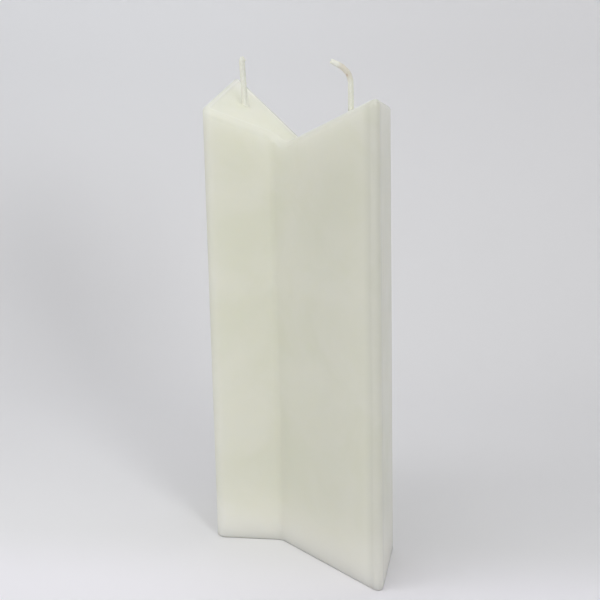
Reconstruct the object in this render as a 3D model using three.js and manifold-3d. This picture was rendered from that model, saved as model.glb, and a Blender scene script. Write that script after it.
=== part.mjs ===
// Twin-wick pillar candle: one wax casting in the form of two right-angled triangular columns that
// run into each other back to back, with a V-shaped top that falls from a peak at each far corner
// to a valley across the middle, and a braided wick standing in each lobe.
// Millimetres and degrees, +Z up. The origin is the middle of the base, and +X runs along the line
// that both lobes share. The left lobe lies on the -X, +Y side and the right lobe on the +X, -Y side.

import * as THREE from 'three';
import { mergeVertices } from 'three/addons/utils/BufferGeometryUtils.js';
import Module from 'manifold-3d';

const wasm = await Module();
wasm.setup();

// Plan of the wax casting
const LOBE_LEG = 50;             // the two short sides of each triangular lobe
const LOBE_OVERLAP = 19.5;       // how far the lobes run past each other along their shared line
const LEFT_END_LEAN = 7.5;       // how far the left lobe's end face leans in from square
const END_CORNER_RADIUS = 4.5;   // upright edges at the two ends of the shared line
const PEAK_CORNER_RADIUS = 2.4;  // upright edges under the two peaks
const NOTCH_RADIUS = 5;          // upright inner edges, where one lobe meets the other
const MITRE_RADIUS = 0.4;        // what is left of an upright edge's radius where a wider rim draws it in

// Top and base of the wax casting
const PEAK_HEIGHT = 205;         // right lobe's far corner, before its edges are rounded
const LEFT_PEAK_DROP = 4;        // how much lower the left lobe's far corner is
const TOP_SLOPE = 23.25;         // fall of each lobe's top from level
const TOP_FALL_HEADING = -29;    // way that the left lobe's top falls, from +X; the right one's is opposite
const VALLEY_RADIUS = 8;         // rounded floor of the valley
const TOP_RIM_RADIUS = 3;        // edge between the top and the sides
const BASE_RIM_RADIUS = 1;       // edge between the sides and the base

// Wicks
const WICK_DIAMETER = 2.3;
const WICK_CLEARANCE = 0.3;      // between a wick and the wax round it
const WICK_FROM_LINE = 19.5;     // wick to the lobes' shared line
const WICK_FOOT_RECESS = 0.5;    // wick ends trimmed this far inside the base
// Each bend turns at its radius through degrees, then runs on straight for a length.
const WICK_LEAN = { radius: 8, turn: -3.7, run: 12.6 };
const WICK_HOOK = { radius: 4, turn: 20, run: 2.7 };
const WICK_KINK = { radius: 2.5, turn: 17, run: 1.4 };
const WICK_CURL = { radius: 10, turn: 60, run: 0 };
const LEFT_WICK = {
  fromEnd: 15.6,                 // wick to the lobe's end, along the shared line
  standing: 3.1,                 // straight length above the wax
  heading: 9,                    // way that a bend of positive turn goes, from +X
  bends: [WICK_LEAN, WICK_HOOK],
};
const RIGHT_WICK = {
  fromEnd: 14.2,
  standing: 12.7,
  heading: 190,
  bends: [WICK_KINK, WICK_CURL],
};

// Fineness of the facets
const ARC_STEP = 12;             // degrees turned by one facet of an upright edge
const RIM_STEPS = 6;             // facets across the top rim
const BASE_STEPS = 3;            // facets across the base rim
const VALLEY_STEPS = 3;          // facets on each side of the valley floor
const BORE_SIDES = 24;
const WICK_SIDES = 10;
const WICK_STEP = 3.5;           // length of one facet along a wick

const WAX = new THREE.MeshStandardMaterial({ color: 0xe6e0cd, roughness: 0.42, metalness: 0 });
const WICK_COTTON = new THREE.MeshStandardMaterial({ color: 0xdfdccf, roughness: 0.85, metalness: 0 });

const { degToRad } = THREE.MathUtils;

// Each lobe's triangle has its right angle at the outer end of the shared line.
const endX = LOBE_LEG - LOBE_OVERLAP / 2;
const lean = degToRad(LEFT_END_LEAN);
const leftEnd = new THREE.Vector2(-endX, 0);
const leftPeak = new THREE.Vector2(-endX + LOBE_LEG * Math.sin(lean), LOBE_LEG * Math.cos(lean));
const leftTip = new THREE.Vector2(-endX + LOBE_LEG, 0);
const rightEnd = new THREE.Vector2(endX, 0);
const rightPeak = new THREE.Vector2(endX, -LOBE_LEG);
const rightTip = new THREE.Vector2(endX - LOBE_LEG, 0);

// Anticlockwise round the plan; each lobe's sharp tip is the inner corner in the other lobe's side.
const plan = [
  { at: leftEnd, radius: END_CORNER_RADIUS },
  { at: rightTip, radius: NOTCH_RADIUS },
  { at: rightPeak, radius: PEAK_CORNER_RADIUS },
  { at: rightEnd, radius: END_CORNER_RADIUS },
  { at: leftTip, radius: NOTCH_RADIUS },
  { at: leftPeak, radius: PEAK_CORNER_RADIUS },
];

// The top is a V across the direction of fall: its height depends only on the distance along it.
const slope = degToRad(TOP_SLOPE);
const grade = Math.tan(slope);
const fallHeading = degToRad(TOP_FALL_HEADING);
const fall = new THREE.Vector2(Math.cos(fallHeading), Math.sin(fallHeading));
const rightPlaneAtOrigin = PEAK_HEIGHT - grade * fall.dot(rightPeak);
const leftPlaneAtOrigin = PEAK_HEIGHT - LEFT_PEAK_DROP + grade * fall.dot(leftPeak);
const valleyAlong = (leftPlaneAtOrigin - rightPlaneAtOrigin) / (2 * grade);
const valleyFloor = (leftPlaneAtOrigin + rightPlaneAtOrigin) / 2;
const valleyHalfWidth = VALLEY_RADIUS * Math.sin(slope);

/** Height of the top at a distance along the direction of fall, with the valley's floor rounded. */
function topHeight(along) {
  const offset = Math.abs(along - valleyAlong);
  if (offset >= valleyHalfWidth) return valleyFloor + grade * offset;
  return valleyFloor + VALLEY_RADIUS / Math.cos(slope) - Math.sqrt(VALLEY_RADIUS ** 2 - offset ** 2);
}

/** Distances along the fall at which the top changes from one flat strip to the next. */
function valleyCreases() {
  const creases = [];
  for (let step = -VALLEY_STEPS; step <= VALLEY_STEPS; step += 1) {
    creases.push(valleyAlong + VALLEY_RADIUS * Math.sin((slope * step) / VALLEY_STEPS));
  }
  return creases;
}

const creases = valleyCreases();

/** Direction in plan from one corner to the next. */
function direction(from, to) {
  return to.clone().sub(from).normalize();
}

/** Normal on the left of a direction of travel, which is the inner side of the plan. */
function inwardNormal(along) {
  return new THREE.Vector2(-along.y, along.x);
}

/** Points of one rounded corner of the plan, drawn in by an inset; outer corners sharpen as they go. */
function cornerArc(before, corner, after, inset) {
  const arriving = inwardNormal(direction(before.at, corner.at));
  const leaving = inwardNormal(direction(corner.at, after.at));
  const turn = Math.atan2(arriving.cross(leaving), arriving.dot(leaving));
  const side = Math.sign(turn);
  const radius = turn > 0 ? Math.max(corner.radius - inset, MITRE_RADIUS) : corner.radius + inset;
  const towardsCentre = arriving.clone().add(leaving).divideScalar(1 + arriving.dot(leaving));
  const centre = corner.at.clone().addScaledVector(towardsCentre, inset + side * radius);
  const steps = Math.ceil(Math.abs(turn) / degToRad(ARC_STEP));
  const points = [];
  for (let step = 0; step <= steps; step += 1) {
    const normal = arriving.clone().rotateAround(new THREE.Vector2(), (turn * step) / steps);
    points.push(centre.clone().addScaledVector(normal, -side * radius));
  }
  return points;
}

/** Rounded outline of the plan with an extra point wherever it crosses a crease of the valley. */
function outline(inset) {
  const rounded = plan.flatMap((corner, index) => {
    const before = plan[(index + plan.length - 1) % plan.length];
    const after = plan[(index + 1) % plan.length];
    return cornerArc(before, corner, after, inset);
  });
  return rounded.flatMap((point, index) => {
    const next = rounded[(index + 1) % rounded.length];
    const start = fall.dot(point);
    const end = fall.dot(next);
    const crossed = creases.filter((crease) => (crease - start) * (crease - end) < 0);
    crossed.sort((first, second) => (first - second) * Math.sign(end - start));
    return [point, ...crossed.map((crease) => point.clone().lerp(next, (crease - start) / (end - start)))];
  });
}

/** Rings of points from the base rim up to the inner edge of the top rim. */
function castingRings() {
  const rings = [];
  for (let step = 0; step <= BASE_STEPS; step += 1) {
    const angle = (Math.PI / 2) * (step / BASE_STEPS);
    const height = BASE_RIM_RADIUS * (1 - Math.cos(angle));
    const ring = outline(BASE_RIM_RADIUS * (1 - Math.sin(angle)));
    rings.push(ring.map((point) => new THREE.Vector3(point.x, point.y, height)));
  }
  for (let step = 0; step <= RIM_STEPS; step += 1) {
    const angle = (Math.PI / 2) * (step / RIM_STEPS);
    const below = TOP_RIM_RADIUS * (1 - Math.sin(angle));
    const ring = outline(TOP_RIM_RADIUS * (1 - Math.cos(angle)));
    rings.push(ring.map((point) => new THREE.Vector3(point.x, point.y, topHeight(fall.dot(point)) - below)));
  }
  return rings;
}

/** Triangles over the part of a ring that lies between two distances along the fall. */
function capTriangles(ring, low, high) {
  const tolerance = 1e-6;
  const members = [];
  ring.forEach((point, index) => {
    const along = fall.x * point.x + fall.y * point.y;
    if (along >= low - tolerance && along <= high + tolerance) members.push(index);
  });
  const contour = members.map((index) => new THREE.Vector2(ring[index].x, ring[index].y));
  return THREE.ShapeUtils.triangulateShape(contour, []).map((face) => face.map((corner) => members[corner]));
}

/** Closed casting: walls between neighbouring rings, a flat base, and flat strips over the top. */
function castingGeometry() {
  const rings = castingRings();
  const count = rings[0].length;
  const faces = [];
  for (let level = 0; level + 1 < rings.length; level += 1) {
    for (let index = 0; index < count; index += 1) {
      const next = (index + 1) % count;
      const lower = level * count;
      const upper = lower + count;
      faces.push([lower + index, lower + next, upper + next], [lower + index, upper + next, upper + index]);
    }
  }
  for (const face of capTriangles(rings[0], -Infinity, Infinity)) faces.push([...face].reverse());
  const top = rings.at(-1);
  const firstTop = (rings.length - 1) * count;
  const strips = [-Infinity, ...creases, Infinity];
  for (let strip = 0; strip + 1 < strips.length; strip += 1) {
    for (const face of capTriangles(top, strips[strip], strips[strip + 1])) {
      faces.push(face.map((corner) => firstTop + corner));
    }
  }
  const geometry = new THREE.BufferGeometry().setFromPoints(rings.flat());
  geometry.setIndex(faces.flat());
  return geometry;
}

/** Solid for joining and cutting, made from a closed geometry. */
function solidFrom(geometry) {
  const bare = geometry.clone();
  bare.deleteAttribute('normal');
  bare.deleteAttribute('uv');
  const merged = mergeVertices(bare);
  return new wasm.Manifold(new wasm.Mesh({
    numProp: 3,
    vertProperties: new Float32Array(merged.attributes.position.array),
    triVerts: new Uint32Array(merged.index.array),
  }));
}

/** Geometry of a finished solid. */
function geometryFrom(solid) {
  const { vertProperties, triVerts } = solid.getMesh();
  const geometry = new THREE.BufferGeometry();
  geometry.setAttribute('position', new THREE.BufferAttribute(vertProperties, 3));
  geometry.setIndex(new THREE.BufferAttribute(triVerts, 1));
  geometry.computeVertexNormals();
  return geometry;
}

/** Upright bore for a wick, running out past the base and the highest part of the top. */
function wickBore(place) {
  const length = 2 * PEAK_HEIGHT;
  const radius = WICK_DIAMETER / 2 + WICK_CLEARANCE;
  const bore = new THREE.CylinderGeometry(radius, radius, length, BORE_SIDES);
  bore.rotateX(Math.PI / 2);
  bore.translate(place.x, place.y, length / 2 - PEAK_HEIGHT / 2);
  return solidFrom(bore);
}

/** Centre line of a wick: upright to the wax, then bends with a straight run after each, in one upright plane. */
class WickRoute extends THREE.Curve {
  constructor(foot, straight, heading, bends) {
    super();
    this.foot = foot;
    this.straight = straight;
    this.heading = degToRad(heading);
    this.bends = bends.map(({ radius, turn, run }) => ({ radius, turn: degToRad(turn), run }));
    this.total = this.bends.reduce((sum, bend) => sum + bend.radius * Math.abs(bend.turn) + bend.run, straight);
  }

  getPoint(t, target = new THREE.Vector3()) {
    let remaining = t * this.total;
    let up = Math.min(remaining, this.straight);
    let across = 0;
    let tilt = 0;
    remaining -= up;
    for (const { radius, turn, run } of this.bends) {
      const side = Math.sign(turn);
      const turned = side * Math.min(remaining / radius, Math.abs(turn));
      up += side * radius * (Math.sin(tilt + turned) - Math.sin(tilt));
      across += side * radius * (Math.cos(tilt) - Math.cos(tilt + turned));
      tilt += turned;
      remaining -= side * turned * radius;
      const onward = Math.min(remaining, run);
      up += onward * Math.cos(tilt);
      across += onward * Math.sin(tilt);
      remaining -= onward;
    }
    const reach = new THREE.Vector3(Math.cos(this.heading), Math.sin(this.heading), 0).multiplyScalar(across);
    return target.copy(this.foot).add(reach).setZ(this.foot.z + up);
  }
}

/** Round wick swept along its route from inside the base to its free end. */
function wickGeometry(place, { standing, heading, bends }) {
  const foot = new THREE.Vector3(place.x, place.y, WICK_FOOT_RECESS);
  const straight = topHeight(fall.dot(place)) - WICK_FOOT_RECESS + standing;
  const route = new WickRoute(foot, straight, heading, bends);
  const section = new THREE.Shape();
  for (let side = 0; side < WICK_SIDES; side += 1) {
    const angle = (2 * Math.PI * side) / WICK_SIDES;
    const x = (WICK_DIAMETER / 2) * Math.cos(angle);
    const y = (WICK_DIAMETER / 2) * Math.sin(angle);
    if (side === 0) section.moveTo(x, y);
    else section.lineTo(x, y);
  }
  section.closePath();
  return new THREE.ExtrudeGeometry(section, {
    steps: Math.ceil(route.total / WICK_STEP),
    bevelEnabled: false,
    extrudePath: route,
  });
}

/** Named mesh of one piece. */
function piece(name, geometry, material) {
  const mesh = new THREE.Mesh(geometry, material);
  mesh.name = name;
  return mesh;
}

const leftWickPlace = new THREE.Vector2(-endX + LEFT_WICK.fromEnd, WICK_FROM_LINE);
const rightWickPlace = new THREE.Vector2(endX - RIGHT_WICK.fromEnd, -WICK_FROM_LINE);

const casting = solidFrom(castingGeometry())
  .subtract(wickBore(leftWickPlace))
  .subtract(wickBore(rightWickPlace));

const candle = new THREE.Group();
candle.name = 'twin_wick_pillar_candle';
candle.add(
  piece('wax_body', geometryFrom(casting), WAX),
  piece('left_wick', wickGeometry(leftWickPlace, LEFT_WICK), WICK_COTTON),
  piece('right_wick', wickGeometry(rightWickPlace, RIGHT_WICK), WICK_COTTON),
);

export default candle;
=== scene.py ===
"""Twin-wick pillar candle: a cast wax body, two braided wicks, and the paper sweep and lamps round it.

Every length is in metres and every angle in radians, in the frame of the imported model: the origin is
the middle of the base, +X runs along the line that both lobes share, and +Z is up.
"""

import logging
import math
from dataclasses import dataclass, field
from enum import Enum

import bpy
import numpy as np
from mathutils import Matrix


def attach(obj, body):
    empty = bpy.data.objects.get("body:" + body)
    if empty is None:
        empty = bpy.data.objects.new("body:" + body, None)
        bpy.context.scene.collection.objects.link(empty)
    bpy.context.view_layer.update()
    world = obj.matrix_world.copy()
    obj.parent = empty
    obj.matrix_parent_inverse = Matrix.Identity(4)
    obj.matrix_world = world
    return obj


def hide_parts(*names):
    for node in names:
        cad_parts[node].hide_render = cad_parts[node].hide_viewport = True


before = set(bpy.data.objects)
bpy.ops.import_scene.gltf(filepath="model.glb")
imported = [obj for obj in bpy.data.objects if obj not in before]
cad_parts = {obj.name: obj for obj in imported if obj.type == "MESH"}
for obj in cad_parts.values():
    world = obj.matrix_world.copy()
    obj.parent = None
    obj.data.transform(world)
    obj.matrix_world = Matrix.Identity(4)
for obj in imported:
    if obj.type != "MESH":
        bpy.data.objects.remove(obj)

BODY = "root"
UP = np.array([0.0, 0.0, 1.0])
FRONT = np.array([0.0, -1.0, 0.0])
MILLIMETRES_IN_A_METRE = 1000
FULL_TURN = 2 * math.pi
PATTERN_MAP = "Along"

Colour = tuple[float, float, float, float]
Triple = tuple[float, float, float]

logging.basicConfig(level=logging.INFO, format="%(message)s")
log = logging.getLogger("candle")


# ---------------------------------------------------------------------------------------- helpers


def unit(vectors: np.ndarray) -> np.ndarray:
    """Scales each vector on the last axis to length one."""
    return vectors / np.linalg.norm(vectors, axis=-1, keepdims=True)


def cross_plan(first: np.ndarray, second: np.ndarray) -> np.ndarray:
    """Upward part of the cross product of plan vectors."""
    return first[..., 0] * second[..., 1] - first[..., 1] * second[..., 0]


def quarter_turn(vectors: np.ndarray) -> np.ndarray:
    """Turns plan vectors a quarter turn anticlockwise."""
    return np.stack([-vectors[..., 1], vectors[..., 0]], axis=-1)


def smooth_step(low: float, high: float, values: np.ndarray) -> np.ndarray:
    """Blend from 0 to 1 with level ends: t * t * (3 - 2 t), where t is the share of the way to high."""
    t = np.clip((values - low) / (high - low), 0.0, 1.0)
    return t * t * (3.0 - 2.0 * t)


def wrapped_quads(rows: int, columns: int, first: int = 0) -> np.ndarray:
    """Faces between neighbouring closed rings, each ring a row of vertices that closes on itself.

    Args:
        rows: Number of rings.
        columns: Number of vertices in each ring.
        first: Number of the first vertex.

    Returns:
        One row of four vertex numbers for each face.
    """
    ring = np.arange(columns)
    following = (ring + 1) % columns
    lower = first + columns * np.arange(rows - 1)[:, None]
    upper = lower + columns
    corners = [lower + ring, lower + following, upper + following, upper + ring]
    return np.stack(corners, axis=-1).reshape(-1, 4)


def fan(ring: np.ndarray, pole: int, flip: bool = False) -> np.ndarray:
    """Triangles from a closed ring to its pole.

    Args:
        ring: Vertex numbers of the ring, in order.
        pole: Vertex number of the pole.
        flip: Whether the faces look the other way.

    Returns:
        One row of three vertex numbers for each face.
    """
    following = np.roll(ring, -1)
    ends = (following, ring) if flip else (ring, following)
    return np.stack([*ends, np.full_like(ring, pole)], axis=-1)


def four_sided_patch(bottom: np.ndarray, top: np.ndarray, left: np.ndarray, right: np.ndarray,
                     reach: float) -> np.ndarray:
    """Surface between four curves that meet at their ends.

    The point at (u, v) is the blend of bottom and top by v. Near each end of u it also takes on what
    the curve there departs from the straight line between its ends, by the square of a share that
    fades from 1 to 0 within the reach.

    Args:
        bottom: Points along u at v = 0.
        top: Points along u at v = 1.
        left: Points along v at u = 0.
        right: Points along v at u = 1.
        reach: Share of u over which the left and the right curve are felt.

    Returns:
        Grid of points, u along the first axis and v along the second.
    """
    u = np.linspace(0.0, 1.0, len(bottom))[:, None, None]
    v = np.linspace(0.0, 1.0, len(left))[None, :, None]
    grid = (1 - v) * bottom[:, None] + v * top[:, None]
    for share, curve in ((u, left), (1 - u, right)):
        departs = curve - ((1 - v[0]) * curve[0] + v[0] * curve[-1])
        grid = grid + np.clip(1 - share / reach, 0.0, 1.0) ** 2 * departs[None]
    return grid


def new_object(name: str, data: bpy.types.ID) -> bpy.types.Object:
    """Makes an object for a mesh, a lamp or a camera.

    Args:
        name: Name of the object.
        data: What the object shows.

    Returns:
        The new object, linked into the scene at the origin.
    """
    made = bpy.data.objects.new(name, data)
    bpy.context.scene.collection.objects.link(made)
    return made


def set_up(piece: bpy.types.Object, axes: list[np.ndarray], place: np.ndarray) -> None:
    """Turns and places a lamp or a camera.

    Args:
        piece: The object.
        axes: Its own sideways, upward and backward axes, given in the frame.
        place: Where it stands.
    """
    matrix = np.eye(4)
    matrix[:3] = np.stack([*axes, place], axis=-1)
    piece.matrix_world = Matrix(matrix.tolist())


def make_piece(name: str, points: np.ndarray, faces: list[np.ndarray],
               pattern: np.ndarray | None = None) -> bpy.types.Object:
    """Puts vertices and faces into a smooth-shaded mesh object at the origin.

    Args:
        name: Name of the piece.
        points: One row of three coordinates for each vertex.
        faces: Arrays of vertex numbers, one row for each face.
        pattern: Two pattern coordinates for each vertex, if the finish needs them.

    Returns:
        The new object, linked into the scene.
    """
    mesh = bpy.data.meshes.new(name)
    mesh.from_pydata(points.tolist(), [], [row for group in faces for row in group.tolist()])
    mesh.polygons.foreach_set("use_smooth", np.ones(len(mesh.polygons), dtype=bool))
    if pattern is not None:
        corners = np.empty(len(mesh.loops), dtype=np.int32)
        mesh.loops.foreach_get("vertex_index", corners)
        layer = mesh.uv_layers.new(name=PATTERN_MAP)
        layer.data.foreach_set("uv", pattern[corners].astype(np.float32).ravel())
    mesh.update()
    return new_object(name, mesh)


def report(piece: bpy.types.Object) -> None:
    """Writes a piece's name, size and number of faces to the log."""
    size = " x ".join(f"{MILLIMETRES_IN_A_METRE * length:.1f}" for length in piece.dimensions)
    log.info("%s: %s mm, %d faces", piece.name, size, len(piece.data.polygons))


# ------------------------------------------------------------------------------- node construction


class Graph:
    """Node tree with short calls for adding and joining nodes."""

    def __init__(self, tree: bpy.types.NodeTree) -> None:
        """Keeps the tree that nodes are added to."""
        self.tree = tree

    def add(self, kind: str, settings: dict | None = None, **inputs: object) -> bpy.types.Node:
        """Adds a node.

        Args:
            kind: Blender's name for the node.
            settings: Properties of the node.
            **inputs: Values or output sockets for the inputs, with underscores for spaces.

        Returns:
            The new node.
        """
        node = self.tree.nodes.new(kind)
        for name, value in (settings or {}).items():
            setattr(node, name, value)
        for name, value in inputs.items():
            self.feed(node.inputs[name.replace("_", " ")], value)
        return node

    def feed(self, socket: bpy.types.NodeSocket, value: object) -> None:
        """Joins an output to a socket, or sets the socket's own value.

        Args:
            socket: Input socket.
            value: Output socket, or a plain value.
        """
        if isinstance(value, bpy.types.NodeSocket):
            self.tree.links.new(value, socket)
        else:
            socket.default_value = value

    def operate(self, kind: str, operation: str, values: tuple) -> bpy.types.Node:
        """Adds a node that does one operation on its inputs.

        Args:
            kind: Blender's name for the node.
            operation: What the node does.
            values: Values or output sockets for its inputs, in order.

        Returns:
            The new node.
        """
        node = self.add(kind, {"operation": operation})
        for socket, value in zip(node.inputs, values):
            self.feed(socket, value)
        return node

    def math(self, operation: str, *values: object) -> bpy.types.NodeSocket:
        """Adds a Math node and returns its output."""
        return self.operate("ShaderNodeMath", operation, values).outputs[0]

    def multiply(self, place: bpy.types.NodeSocket, factors: Triple) -> bpy.types.NodeSocket:
        """Multiplies each part of a place by its own factor."""
        return self.operate("ShaderNodeVectorMath", "MULTIPLY", (place, factors)).outputs["Vector"]

    def distance(self, place: bpy.types.NodeSocket, point: Triple) -> bpy.types.NodeSocket:
        """Distance of a place from a fixed point."""
        return self.operate("ShaderNodeVectorMath", "DISTANCE", (place, point)).outputs["Value"]

    def mix(self, factor: object, first: object, second: object,
            blend: str = "MIX") -> bpy.types.NodeSocket:
        """Adds a colour Mix node.

        Args:
            factor: Share of the second colour.
            first: Colour where the factor is 0.
            second: Colour that is blended in.
            blend: How the second colour meets the first.

        Returns:
            The mixed colour.
        """
        node = self.tree.nodes.new("ShaderNodeMix")
        node.data_type = "RGBA"
        node.blend_type = blend
        self.feed(node.inputs["Factor"], factor)
        colours = [socket for socket in node.inputs if socket.type == "RGBA"]
        self.feed(colours[0], first)
        self.feed(colours[1], second)
        return next(socket for socket in node.outputs if socket.type == "RGBA")

    def ramp(self, value: object, low: float, high: float, out_low: float = 0.0,
             out_high: float = 1.0) -> bpy.types.NodeSocket:
        """Carries a value smoothly from one range to another.

        Args:
            value: Output socket with the value.
            low: Value at which the result is out_low.
            high: Value at which the result is out_high.
            out_low: Result at and below low.
            out_high: Result at and above high.

        Returns:
            The result.
        """
        node = self.add("ShaderNodeMapRange", {"interpolation_type": "SMOOTHSTEP"}, Value=value)
        self.feed(node.inputs["From Min"], low)
        self.feed(node.inputs["From Max"], high)
        self.feed(node.inputs["To Min"], out_low)
        self.feed(node.inputs["To Max"], out_high)
        return node.outputs["Result"]


class Socket(Enum):
    """Kinds of socket on a node group."""

    VALUE = "NodeSocketFloat"
    COLOUR = "NodeSocketColor"
    VECTOR = "NodeSocketVector"


def new_material(name: str) -> tuple[bpy.types.Material, Graph, bpy.types.Node]:
    """Starts a material.

    Args:
        name: Name of the material.

    Returns:
        The material, a graph for adding nodes to it, and its surface shader.
    """
    made = bpy.data.materials.new(name)
    made.use_nodes = True
    return made, Graph(made.node_tree), made.node_tree.nodes["Principled BSDF"]


def new_group(name: str, inputs: dict[str, Socket], outputs: dict[str, Socket]
              ) -> tuple[bpy.types.NodeTree, Graph, bpy.types.Node, bpy.types.Node]:
    """Starts a shader node group with named sockets.

    Args:
        name: Name of the group.
        inputs: Names and kinds of its inputs.
        outputs: Names and kinds of its outputs.

    Returns:
        The group, a graph for adding nodes to it, and its input and output nodes.
    """
    tree = bpy.data.node_groups.new(name, "ShaderNodeTree")
    for label, kind in inputs.items():
        tree.interface.new_socket(name=label, in_out="INPUT", socket_type=kind.value)
    for label, kind in outputs.items():
        tree.interface.new_socket(name=label, in_out="OUTPUT", socket_type=kind.value)
    graph = Graph(tree)
    return tree, graph, graph.add("NodeGroupInput"), graph.add("NodeGroupOutput")


def clouding_group() -> bpy.types.NodeTree:
    """Builds the soft clouding of poured wax: slow drifts of tone, and fine grain with its height.

    Returns:
        A group that mixes a dense and a milky tone by two noises, and puts out the height of the grain.
    """
    tree, graph, given, made = new_group(
        "poured_clouding",
        {"Place": Socket.VECTOR, "Drift Scale": Socket.VALUE, "Grain Scale": Socket.VALUE,
         "Grain Share": Socket.VALUE, "Dense": Socket.COLOUR, "Milky": Socket.COLOUR},
        {"Colour": Socket.COLOUR, "Height": Socket.VALUE},
    )
    place = given.outputs["Place"]
    drift = graph.add("ShaderNodeTexNoise", Vector=place, Scale=given.outputs["Drift Scale"], Detail=3.0,
                      Roughness=0.55, Distortion=0.6)
    grain = graph.add("ShaderNodeTexNoise", Vector=place, Scale=given.outputs["Grain Scale"], Detail=4.0,
                      Roughness=0.65)
    slow = graph.ramp(drift.outputs["Fac"], 0.3, 0.7)
    fine = graph.math("SUBTRACT", grain.outputs["Fac"], 0.5)
    tone = graph.math("ADD", slow, graph.math("MULTIPLY", fine, given.outputs["Grain Share"]))
    colour = graph.mix(graph.math("MINIMUM", graph.math("MAXIMUM", tone, 0.0), 1.0),
                       given.outputs["Dense"], given.outputs["Milky"])
    graph.feed(made.inputs["Colour"], colour)
    graph.feed(made.inputs["Height"], grain.outputs["Fac"])
    return tree


# ---------------------------------------------------------------------------------------- finishes


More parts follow.
